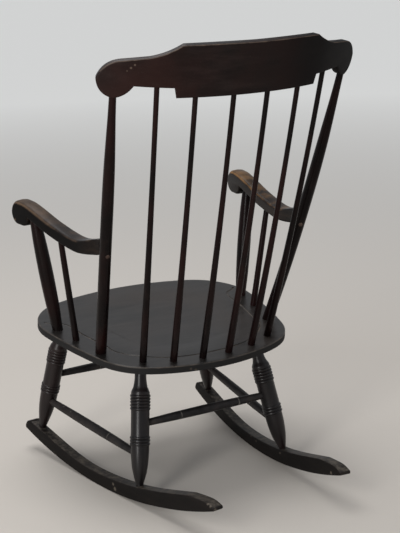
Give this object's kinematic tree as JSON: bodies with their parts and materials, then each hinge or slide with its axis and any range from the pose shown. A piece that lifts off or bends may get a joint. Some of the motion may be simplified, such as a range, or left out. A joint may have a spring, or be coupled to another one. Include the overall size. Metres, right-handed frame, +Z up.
{
  "type": "rocking chair",
  "caption": "Wooden rocking chair with a shaped bent crest rail over slender spindles, scrolled arms, turned legs and two curved rockers.",
  "frame": {"origin": "middle of the box's base, on the floor", "axes": "+Z up, -Y the way the sitter faces, +X to the sitter's left"},
  "size_m": [0.6314, 0.7578, 1.034],
  "materials": {
    "seat_wood": "dark paint worn to a satin grey-brown sheen",
    "frame_wood": "satin near-black brown paint with a reddish undertone",
    "arm_wood": "dark brown paint worn through to warm wood along the top edges",
    "leg_wood": "satin black paint with cool highlights",
    "rocker_wood": "dull black-brown paint with scuffs and chipped tips",
    "stretcher_wood": "worn black paint"
  },
  "bodies": {
    "root": {"seat": "seat_wood", "crest_rail": "frame_wood", "stretcher_rear": "stretcher_wood", "stretcher_front": "stretcher_wood", "rocker_left": "rocker_wood", "rocker_right": "rocker_wood", "leg_rear_left": "leg_wood", "leg_rear_right": "leg_wood", "leg_front_left": "leg_wood", "leg_front_right": "leg_wood", "stretcher_side_left": "stretcher_wood", "stretcher_side_right": "stretcher_wood", "back_post_left": "frame_wood", "back_post_right": "frame_wood", "arm_left": "arm_wood", "arm_right": "arm_wood", "arm_post_left": "frame_wood", "arm_post_right": "frame_wood", "arm_spindle_left": "frame_wood", "arm_spindle_right": "frame_wood", "spindle_inner_left": "frame_wood", "spindle_inner_right": "frame_wood", "spindle_middle_left": "frame_wood", "spindle_middle_right": "frame_wood", "spindle_outer_left": "frame_wood", "spindle_outer_right": "frame_wood"}
  },
  "joints": []
}
